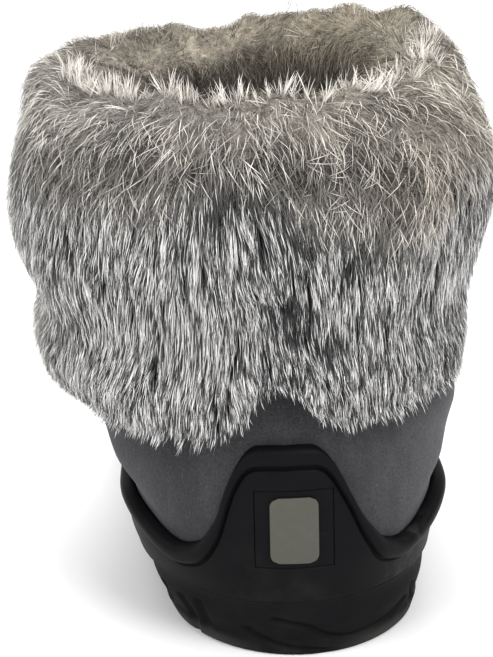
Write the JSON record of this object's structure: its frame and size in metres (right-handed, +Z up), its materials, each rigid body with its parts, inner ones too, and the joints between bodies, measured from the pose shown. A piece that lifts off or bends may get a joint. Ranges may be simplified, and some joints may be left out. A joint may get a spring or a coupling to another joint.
{
  "type": "snow boot",
  "caption": "Left pull-on winter snow boot with a black rubber foot shell and sole, grey suede upper and a deep long-haired fur cuff.",
  "frame": {"origin": "middle of the heel's tread, on the floor plane", "axes": "+Z up; toe towards -Y; +X is the wearer's left, the boot's outer side"},
  "size_m": [0.1549, 0.2876, 0.1869],
  "materials": {
    "outsole": "matt",
    "rubber_shell": "satin",
    "upper": "matt",
    "insole": "matt",
    "heel_badge": "satin",
    "reflector": "satin",
    "fur_cuff": "matt"
  },
  "bodies": {
    "root": {"outsole": "outsole", "rubber_shell": "rubber_shell", "upper": "upper", "insole": "insole", "heel_badge": "heel_badge", "reflector": "reflector", "fur_cuff": "fur_cuff"}
  },
  "joints": []
}
